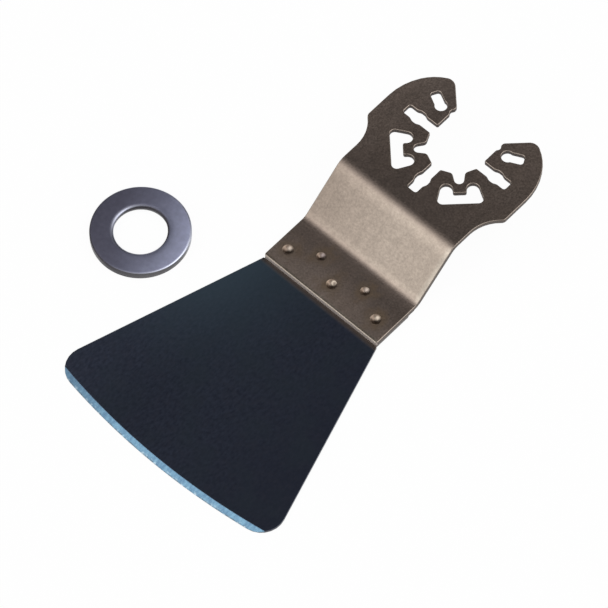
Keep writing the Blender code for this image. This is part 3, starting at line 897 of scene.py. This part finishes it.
# %% Blade steel: oxide
GRIT = (1900.0, 4.0)
GRIT_STRETCH = (1.0, 0.55, 1.0)
GRIT_SHARE = (0.28, 0.72)
OXIDE_COLOURS = ((0.048, 0.057, 0.088), (0.081, 0.096, 0.145))
DUSK = (0.0, 0.026, 0.0, 0.8)
DUSK_COLOUR = (0.050, 0.058, 0.088)
SPECKLE = (900.0, 3.0)
SPECKLE_SHARE = (0.45, 0.7, 0.0, 0.4)
SPECKLE_COLOUR = (0.076, 0.081, 0.114)
HAZE = (130.0, 3.0)
HAZE_SHARE = (0.45, 0.65, 0.0, 0.4)
HAZE_COLOUR = (0.062, 0.082, 0.106)
GREEN_ACROSS = (-0.020, 0.006, 1.0, 0.0)
GREEN_ALONG = (-0.036, -0.004, 0.0, 0.85)
GREEN_COLOUR = (0.100, 0.150, 0.196)
LEFT_CORNER = (-0.026, -0.010, 1.26, 0.93)
TINT = (-0.0012, -0.0001, 0.0, 0.85)
TINT_COLOUR = (0.255, 0.210, 0.185)
CONTACT_SHADE_TONES = [(0.0, 0.80), (0.00012, 0.75), (0.0003, 0.50), (0.0006, 0.80), (0.0009, 1.0)]

blued, tree, shader = steel("blued_steel")
spot = place(tree)
here = parts_of(tree, vector_node(tree, "SUBTRACT", spot, (axis_x, shank_end, 0.0)))
grit = noise(tree, place(tree, GRIT_STRETCH), *GRIT)
blue = mixed(tree, remap(tree, grit, *GRIT_SHARE), *OXIDE_COLOURS)
blue = mixed(tree, remap(tree, here["X"], *DUSK, smooth=True), blue, DUSK_COLOUR)
blue = mixed(tree, remap(tree, noise(tree, spot, *SPECKLE), *SPECKLE_SHARE), blue, SPECKLE_COLOUR)
blue = mixed(tree, remap(tree, noise(tree, spot, *HAZE), *HAZE_SHARE), blue, HAZE_COLOUR)
across = remap(tree, here["X"], *GREEN_ACROSS, smooth=True)
along = remap(tree, here["Y"], *GREEN_ALONG, smooth=True)
blue = mixed(tree, math_node(tree, "MULTIPLY", across, along), blue, GREEN_COLOUR)
blue = scaled(tree, blue, remap(tree, here["X"], *LEFT_CORNER))
blue = mixed(tree, remap(tree, here["Y"], *TINT, smooth=True), blue, TINT_COLOUR)
# Painted shade along the shank's end, darkest in a line a little in front of it.
from_shank = math_node(tree, "MULTIPLY", here["Y"], -1.0)
blue = scaled(tree, blue, tone_ramp(tree, from_shank, CONTACT_SHADE_TONES))
print("oxide has", len(tree.nodes), "nodes")

# %% [markdown]
# ### The ground edge
#
# The front edge is ground bright on a large wheel, so the strip is a ring about the wheel's centre: the
# distance from that centre says where the oxide ends, at every place along the curve. The grinding leaves
# fine lines across the strip and a ragged dark burr along its rim, which curls up here and there; painted
# glints stand for the light that it catches. The strip is darker towards its left end.

# %% Blade steel: ground edge
TIP_RADIUS = 0.148
GRIND_WIDTH = 0.0012
GRIND_FADE = 0.00012
SCRATCH = (1700.0, 3.0)
SCRATCH_STRETCH = (1.0, 0.25, 1.0)
SCRATCH_SHARE = (0.35, 0.65)
GROUND_COLOURS = ((0.155, 0.285, 0.420), (0.235, 0.420, 0.565))
LEFT_DARK_WIDTH = 0.020
LEFT_DARK_SHARE = 0.6
LEFT_DARK_COLOUR = (0.080, 0.135, 0.200)
BURR_NOISE = (1100.0, 2.0)
BURR_SHARE = (0.40, 0.60, 0.2, 1.0)
BURR_REACH = (0.0, 0.0003, 1.0, 0.0)
BURR_COLOUR = (0.13, 0.17, 0.20)
GLINT_NOISE = (1300.0, 2.0)
GLINT_SHARE = (0.55, 0.68, 0.0, 0.6)
GLINT_REACH = (0.0002, 0.0005, 1.0, 0.0)
GLINT_COLOUR = (0.62, 0.76, 0.84)
RIM_SHARE = (0.0, 1.0, 0.0, 0.6)
RIM_COLOUR = (0.090, 0.085, 0.085)
BLADE_ROUGH = (0.35, 0.48)
GRIT_RELIEF = 0.000010

wheel = (axis_x, blade_low.y + TIP_RADIUS, 0.0)
level = vector_node(tree, "MULTIPLY", spot, (1.0, 1.0, 0.0))
inwards = math_node(tree, "SUBTRACT", TIP_RADIUS, distance_to_nearest(tree, level, [wheel]))
ground = remap(tree, inwards, GRIND_WIDTH - GRIND_FADE, GRIND_WIDTH, 1.0, 0.0)
scratch = noise(tree, place(tree, SCRATCH_STRETCH), *SCRATCH)
bright = mixed(tree, remap(tree, scratch, *SCRATCH_SHARE), *GROUND_COLOURS)
left_dark = remap(tree, here["X"], -blade_half, LEFT_DARK_WIDTH - blade_half, LEFT_DARK_SHARE, 0.0, smooth=True)
bright = mixed(tree, left_dark, bright, LEFT_DARK_COLOUR)
ragged = remap(tree, noise(tree, spot, *BURR_NOISE), *BURR_SHARE)
burr = math_node(tree, "MULTIPLY", remap(tree, inwards, *BURR_REACH), ragged)
bright = mixed(tree, burr, bright, BURR_COLOUR)
# Painted glints, where the curled burr catches the light.
glinting = remap(tree, noise(tree, spot, *GLINT_NOISE), *GLINT_SHARE)
glint = math_node(tree, "MULTIPLY", remap(tree, inwards, *GLINT_REACH), glinting)
bright = mixed(tree, glint, bright, GLINT_COLOUR)
colour = mixed(tree, ground, blue, bright)
colour = mixed(tree, remap(tree, face_share(tree, "wall"), *RIM_SHARE), colour, RIM_COLOUR)
tree.links.new(colour, shader.inputs["Base Color"])
tree.links.new(remap(tree, ground, 0.0, 1.0, *BLADE_ROUGH), shader.inputs["Roughness"])
grain(tree, shader, grit, GRIT_RELIEF)
print("blade steel has", len(tree.nodes), "nodes")

# %% [markdown]
# ## The blade
#
# The blade is a flat sheet, so its solid already has the right shape and only its edges are broken, by less
# than the shank's because the sheet is thin. The ground strip is flat, so its faces keep their own normals.

# %% Blade
BLADE_ROUND = 0.00005
BLADE_STEPS = 2
GROUND_LEAN = (0.85, 0.98)

build = whole_faces("scraper_blade")
build = rounded_off(build, {edge: BLADE_ROUND for edge in sharp_edges(build)}, BLADE_STEPS)
blade = sheet_piece("blade", build, blued, GROUND_LEAN)
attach(blade, "scraper")
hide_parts("scraper_blade")

# %% [markdown]
# ## The washer
#
# A washer is one section carried round a circle. It could be turned from a bevelled cylinder, but Geometry
# Nodes follow the rule itself: a rectangle with rounded corners follows a circle, and the sizes come from
# the solid's box. Tumbling leaves wide, low rounds, so the section is drawn too tall, rounded, and then
# pressed flat. A punched hole tears wider towards the lower side. The press leaves such a ring a little
# crowned, so the upper side sinks towards the rim. That small slope turns one side of the washer a little
# towards the light; most of its pale side and its dark side is painted light and shade in the finish below.

# %% Washer nodes
ROUND_STEPS = 8

group, given, result = new_group("washer_ring", [
    ("Outer Radius", "Float", 0.01), ("Hole Radius", "Float", 0.005), ("Thickness", "Float", 0.002),
    ("Rim Round", "Float", 0.0004), ("Hole Round", "Float", 0.0004), ("Flatness", "Float", 1.0),
    ("Breakout", "Float", 0.0), ("Crown", "Float", 0.0002), ("Steps", "Int", 96),
    ("Centre", "Vector", None), ("Steel", "Material", None)], "Ring")
both = math_node(group, "ADD", given["Outer Radius"], given["Hole Radius"])
circle = group.nodes.new("GeometryNodeCurvePrimitiveCircle")
group.links.new(given["Steps"], circle.inputs["Resolution"])
group.links.new(math_node(group, "MULTIPLY", both, 0.5), circle.inputs["Radius"])
band = math_node(group, "SUBTRACT", given["Outer Radius"], given["Hole Radius"])
section = group.nodes.new("GeometryNodeCurvePrimitiveQuadrilateral")
group.links.new(band, section.inputs["Width"])
tall = math_node(group, "MULTIPLY", given["Thickness"], given["Flatness"])
group.links.new(tall, section.inputs["Height"])
point = position_parts(group)
inner = math_node(group, "LESS_THAN", point["X"], 0.0)
choose = group.nodes.new("GeometryNodeSwitch")
choose.input_type = "FLOAT"
group.links.new(inner, choose.inputs["Switch"])
group.links.new(given["Rim Round"], choose.inputs["False"])
group.links.new(given["Hole Round"], choose.inputs["True"])
corner = group.nodes.new("GeometryNodeFilletCurve")
corner.mode = "POLY"
corner.inputs["Count"].default_value = ROUND_STEPS
group.links.new(section.outputs["Curve"], corner.inputs["Curve"])
group.links.new(choose.outputs["Output"], corner.inputs["Radius"])
flatten = group.nodes.new("GeometryNodeTransform")
group.links.new(corner.outputs["Curve"], flatten.inputs["Geometry"])
squeeze = math_node(group, "DIVIDE", 1.0, given["Flatness"])
group.links.new(combined(group, X=1.0, Y=squeeze), flatten.inputs["Scale"])
# The sweep turns the section over: what lies above its middle becomes the lower side of the washer.
below = math_node(group, "DIVIDE", point["Y"], math_node(group, "MULTIPLY", given["Thickness"], 0.5))
torn = math_node(group, "MULTIPLY", math_node(group, "MAXIMUM", below, 0.0), given["Breakout"])
punched = moved(group, flatten.outputs["Geometry"], inner, combined(group, X=torn))
sweep = group.nodes.new("GeometryNodeCurveToMesh")
group.links.new(circle.outputs["Curve"], sweep.inputs["Curve"])
group.links.new(punched, sweep.inputs["Profile Curve"])
outwards = math_node(group, "SUBTRACT", radius_node(group, point), given["Hole Radius"])
drop = math_node(group, "MULTIPLY", math_node(group, "DIVIDE", outwards, band), given["Crown"])
crowned = pressed_down(group, sweep.outputs["Mesh"], point, drop)
move = group.nodes.new("GeometryNodeTransform")
group.links.new(crowned, move.inputs["Geometry"])
group.links.new(given["Centre"], move.inputs["Translation"])
hand_out(group, move.outputs["Geometry"], given["Steel"], result)

# %% [markdown]
# ### Its finish
#
# The washer is tumbled steel with a thin violet-grey plating. Tumbling leaves small dull spots. Its colour is
# painted paler towards one side and darker towards the other, as painted light and painted shade. Around the
# hole, painted shade darkens that pale side again, where the round turns from the light. The walls and the
# rounds that face the front get painted shade, lighter on the outer half of the pale side. The rounds get a
# painted highlight only where they turn towards the light, which a share on the faces says.

# %% Washer steel
LIGHT_SIDE = Vector((0.92, 0.39, 0.0))
LIGHT_SIDE_POWER = 2.5
PLATE_SHADE_TO_LIGHT = ((0.140, 0.138, 0.190), (0.575, 0.605, 0.840))
TUMBLE = (1300.0, 3.0)
TUMBLE_TONES = (0.3, 0.7, 0.93, 1.07)
TARNISH = (260.0, 3.0)
TARNISH_TONES = (0.35, 0.65, 0.95, 1.05)
HOLE_SHADE_SIDE = (0.50, 0.78)
HOLE_SHADE_TONES = (0.0058, 0.0068, 0.64, 1.0)
OUTER_HALF = (0.0070, 0.0080)
ROUND_HIGHLIGHT_COLOURS = ((0.34, 0.35, 0.42), (0.52, 0.54, 0.64))
LIT_WALL_SIDE = (0.35, 0.70)
WALL_SHADE_COLOURS = ((0.045, 0.042, 0.050), (0.110, 0.106, 0.112))
PLATE_METAL = (0.0, 1.0, 0.6, 1.0)
SHADED_WALL_METAL = 0.3
PLATE_ROUGH = (0.2, 0.8, 0.28, 0.31)
PLATE_SHEEN = 0.1
TUMBLE_RELIEF = 0.000002

zinc, tree, shader = steel("washer_steel")
spot = place(tree)
tumble = noise(tree, spot, *TUMBLE)
# Painted light and shade: the plating is painted pale towards one side and dark towards the other.
light_side_middle = washer_middle.dot(LIGHT_SIDE)
towards_light = vector_node(tree, "DOT_PRODUCT", spot, LIGHT_SIDE)
side = remap(tree, towards_light, light_side_middle - washer_radius, light_side_middle + washer_radius)
grey = mixed(tree, math_node(tree, "POWER", side, LIGHT_SIDE_POWER), *PLATE_SHADE_TO_LIGHT)
grey = scaled(tree, grey, remap(tree, tumble, *TUMBLE_TONES))
grey = scaled(tree, grey, remap(tree, noise(tree, spot, *TARNISH), *TARNISH_TONES))
top_middle = Vector((washer_middle.x, washer_middle.y, washer_high.z))
from_axis = distance_to_nearest(tree, spot, [top_middle])
# Painted shade on the round of the hole, on the pale side.
grey = toned(tree, grey, remap(tree, side, *HOLE_SHADE_SIDE), remap(tree, from_axis, *HOLE_SHADE_TONES))
outer_half = remap(tree, from_axis, *OUTER_HALF)
# Painted highlight on the rounds that turn towards the light.
edge = face_share(tree, "edge")
grey = mixed(tree, edge, grey, mixed(tree, outer_half, *ROUND_HIGHLIGHT_COLOURS))
# Painted shade on the walls and front rounds, lighter on the outer half of the pale side.
lit_wall = math_node(tree, "MULTIPLY", outer_half, remap(tree, side, *LIT_WALL_SIDE))
wall = face_share(tree, "wall")
tree.links.new(mixed(tree, wall, grey, mixed(tree, lit_wall, *WALL_SHADE_COLOURS)), shader.inputs["Base Color"])
metal = mixed(tree, wall, remap(tree, edge, *PLATE_METAL), SHADED_WALL_METAL)
tree.links.new(metal, shader.inputs["Metallic"])
tree.links.new(remap(tree, tumble, *PLATE_ROUGH), shader.inputs["Roughness"])
shader.inputs["Specular IOR Level"].default_value = PLATE_SHEEN
grain(tree, shader, tumble, TUMBLE_RELIEF)
print("washer steel has", len(tree.nodes), "nodes")

# %% [markdown]
# ### The washer in place
#
# The nodes give a closed ring, whose faces are turned outwards before anything reads them. It has no bevel
# that could mark its rounds, so walls and rounds are both told by their lean from a direction. The
# directions are tilted: the walls and rounds that face the front get painted shade, and a round gets a
# painted highlight only where it turns towards the light on the right.

# %% Washer
HOLE_RADIUS = 0.00525
RIM_ROUND = 0.00050
HOLE_ROUND = 0.00095
FLATNESS = 2.0
BREAKOUT = 0.00035
CROWN = 0.00006
RING_STEPS = 160
WASHER_SHADE_UPRIGHT = Vector((0.3, 0.9, 1.0))
WASHER_SHADE_LEAN = (0.88, 0.50)
WASHER_HIGHLIGHT_UPRIGHT = Vector((-0.28, -0.10, 0.95))
WASHER_HIGHLIGHT_LEAN = (0.93, 0.80)

ring = bpy.data.objects.new("washer", bpy.data.meshes.new("washer"))
scene.collection.objects.link(ring)
turning = ring.modifiers.new("ring", "NODES")
turning.node_group = group
set_inputs(turning, {"Outer Radius": washer_radius, "Hole Radius": HOLE_RADIUS,
                     "Thickness": washer_high.z - washer_low.z, "Rim Round": RIM_ROUND,
                     "Hole Round": HOLE_ROUND, "Flatness": FLATNESS, "Breakout": BREAKOUT, "Crown": CROWN,
                     "Steps": RING_STEPS, "Centre": washer_middle, "Steel": zinc})
settle(ring)
build = bmesh.new()
build.from_mesh(ring.data)
bmesh.ops.recalc_face_normals(build, faces=build.faces)
build.to_mesh(ring.data)
build.free()
ring.data.shade_smooth()
# Where the painted shade and the painted highlights go.
mark_lean(ring.data, "wall", WASHER_SHADE_UPRIGHT, *WASHER_SHADE_LEAN)
mark_lean(ring.data, "edge", WASHER_HIGHLIGHT_UPRIGHT, *WASHER_HIGHLIGHT_LEAN)
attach(ring, "washer")
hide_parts("spacer_washer")
print("washer is", [round(1000 * value, 2) for value in ring.dimensions], "mm")
